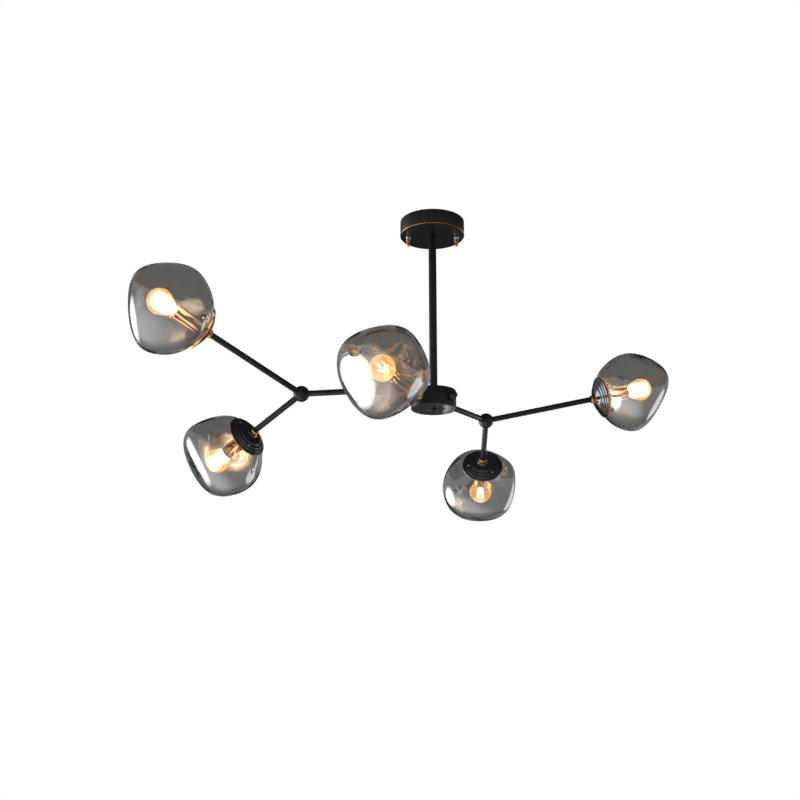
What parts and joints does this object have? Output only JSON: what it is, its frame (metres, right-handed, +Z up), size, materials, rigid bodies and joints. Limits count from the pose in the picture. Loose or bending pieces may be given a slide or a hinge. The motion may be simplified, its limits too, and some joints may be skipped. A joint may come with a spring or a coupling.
{
  "type": "branch chandelier",
  "caption": "Ceiling chandelier with a drum canopy, a stem and a drum hub, from which thin black arms branch through balls to cupped lamps with smoked pebble glass shades.",
  "frame": {"origin": "centre of the ceiling bracket's top face, on the ceiling plane and on the stem's axis", "axes": "+Z up into the ceiling, +X to the right in the picture, +Y away from the viewer"},
  "size_m": [1.0113, 0.7348, 0.5349],
  "materials": {
    "satin_black": "satin black powder coat on steel",
    "dark_plate": "dark satin plated steel",
    "brass": "polished brass",
    "chrome": "polished chrome",
    "zinc": "zinc plated steel",
    "ivory_plastic": "moulded ivory plastic",
    "bronze_sleeve": "bronze plated sleeve of a moulded holder",
    "smoked_glass": "smoke-grey glass with a thin mirror plating",
    "bulb_glass": "clear bulb glass, lit warm"
  },
  "bodies": {
    "ceiling_mount": {"ceiling_bracket": "zinc", "mounting_stud_left": "zinc", "mounting_stud_right": "zinc", "terminal_block": "ivory_plastic", "canopy_shell": "satin_black", "canopy_trim_ring": "brass", "canopy_post_left": "chrome", "canopy_post_right": "chrome"},
    "canopy_nut_left": {"canopy_nut_left": "brass"},
    "canopy_nut_right": {"canopy_nut_right": "brass"},
    "stem_and_hub": {"canopy_lock_nut": "zinc", "stem_upper_nipple": "zinc", "stem_tube": "satin_black", "hub_centre_rod": "zinc", "hub_lock_nut": "zinc", "hub_drum": "satin_black", "hub_bottom_plate": "dark_plate", "hub_cap_nut": "satin_black", "side_port_plug": "satin_black"},
    "front_branch": {"front_hub_arm": "satin_black", "port_lock_nut_front": "zinc", "hub_ring_nut_front": "brass", "front_ball": "satin_black", "lamp_arm_front": "satin_black", "arm_ring_nut_front": "brass", "shade_cup_front": "satin_black", "lamp_holder_front": "bronze_sleeve"},
    "left_branch": {"left_link_arm": "satin_black", "left_ball": "satin_black", "lamp_arm_upper_left": "satin_black", "arm_ring_nut_upper_left": "brass", "shade_cup_upper_left": "satin_black", "lamp_holder_upper_left": "bronze_sleeve", "lamp_arm_lower_left": "satin_black", "arm_ring_nut_lower_left": "brass", "shade_cup_lower_left": "satin_black", "lamp_holder_lower_left": "bronze_sleeve"},
    "right_branch": {"right_hub_arm": "satin_black", "port_lock_nut_right": "zinc", "hub_ring_nut_right": "brass", "right_ball": "satin_black", "lamp_arm_far_right": "satin_black", "arm_ring_nut_far_right": "brass", "shade_cup_far_right": "satin_black", "lamp_holder_far_right": "bronze_sleeve", "lamp_arm_rear": "satin_black", "arm_ring_nut_rear": "brass", "shade_cup_rear": "satin_black", "lamp_holder_rear": "bronze_sleeve"},
    "shade_upper_left": {"glass_shade_upper_left": "smoked_glass"},
    "shade_lower_left": {"glass_shade_lower_left": "smoked_glass"},
    "shade_front": {"glass_shade_front": "smoked_glass"},
    "shade_far_right": {"glass_shade_far_right": "smoked_glass"},
    "shade_rear": {"glass_shade_rear": "smoked_glass"},
    "bulb_upper_left": {"bulb_upper_left": "bulb_glass"},
    "bulb_lower_left": {"bulb_lower_left": "bulb_glass"},
    "bulb_front": {"bulb_front": "bulb_glass"},
    "bulb_far_right": {"bulb_far_right": "bulb_glass"},
    "bulb_rear": {"bulb_rear": "bulb_glass"}
  },
  "joints": [
    {"name": "canopy_nut_left_turn", "type": "hinge", "parent": "ceiling_mount", "child": "canopy_nut_left", "pos_m": [-0.047, 0, -0.041], "axis": [0, 0, -1], "range_deg": [0, 1080]},
    {"name": "canopy_nut_right_turn", "type": "hinge", "parent": "ceiling_mount", "child": "canopy_nut_right", "pos_m": [0.047, 0, -0.041], "axis": [0, 0, -1], "range_deg": [0, 1080]},
    {"name": "stem_swivel", "type": "hinge", "parent": "ceiling_mount", "child": "stem_and_hub", "pos_m": [0, 0, -0.0303], "axis": [0, 0, 1], "range_deg": [-170, 170]},
    {"name": "front_branch_roll", "type": "hinge", "parent": "stem_and_hub", "child": "front_branch", "pos_m": [0, 0, -0.3641], "axis": [-0.5948, -0.8039, 0], "range_deg": [-30, 30]},
    {"name": "left_branch_roll", "type": "hinge", "parent": "front_branch", "child": "left_branch", "pos_m": [-0.05591, -0.07556, -0.3641], "axis": [-0.9848, 0.1736, 0], "range_deg": [-30, 30]},
    {"name": "right_branch_roll", "type": "hinge", "parent": "stem_and_hub", "child": "right_branch", "pos_m": [0, 0, -0.3641], "axis": [0.5948, 0.8039, 0], "range_deg": [-45, 45]},
    {"name": "shade_upper_left_turn", "type": "hinge", "parent": "left_branch", "child": "shade_upper_left", "pos_m": [-0.39778, -0.18173, -0.29447], "axis": [-0.6999, -0.6391, 0.319], "continuous": true},
    {"name": "shade_lower_left_turn", "type": "hinge", "parent": "left_branch", "child": "shade_lower_left", "pos_m": [-0.33972, 0.02787, -0.4178], "axis": [-0.7315, 0.5413, -0.4147], "continuous": true},
    {"name": "shade_front_turn", "type": "hinge", "parent": "front_branch", "child": "shade_front", "pos_m": [-0.07083, -0.14572, -0.37038], "axis": [-0.2071, -0.9744, -0.0872], "continuous": true},
    {"name": "shade_far_right_turn", "type": "hinge", "parent": "right_branch", "child": "shade_far_right", "pos_m": [0.3304, 0.17664, -0.31052], "axis": [0.9641, 0.1269, 0.2334], "continuous": true},
    {"name": "shade_rear_turn", "type": "hinge", "parent": "right_branch", "child": "shade_rear", "pos_m": [0.10915, 0.25484, -0.41997], "axis": [0, 0.887, -0.4617], "continuous": true},
    {"name": "bulb_upper_left_turn", "type": "hinge", "parent": "left_branch", "child": "bulb_upper_left", "pos_m": [-0.39778, -0.18173, -0.29447], "axis": [-0.6999, -0.6391, 0.319], "range_deg": [0, 1080]},
    {"name": "bulb_lower_left_turn", "type": "hinge", "parent": "left_branch", "child": "bulb_lower_left", "pos_m": [-0.33972, 0.02787, -0.4178], "axis": [-0.7315, 0.5413, -0.4147], "range_deg": [0, 1080]},
    {"name": "bulb_front_turn", "type": "hinge", "parent": "front_branch", "child": "bulb_front", "pos_m": [-0.07083, -0.14572, -0.37038], "axis": [-0.2071, -0.9744, -0.0872], "range_deg": [0, 1080]},
    {"name": "bulb_far_right_turn", "type": "hinge", "parent": "right_branch", "child": "bulb_far_right", "pos_m": [0.3304, 0.17664, -0.31052], "axis": [0.9641, 0.1269, 0.2334], "range_deg": [0, 1080]},
    {"name": "bulb_rear_turn", "type": "hinge", "parent": "right_branch", "child": "bulb_rear", "pos_m": [0.10915, 0.25484, -0.41997], "axis": [0, 0.887, -0.4617], "range_deg": [0, 1080]}
  ]
}
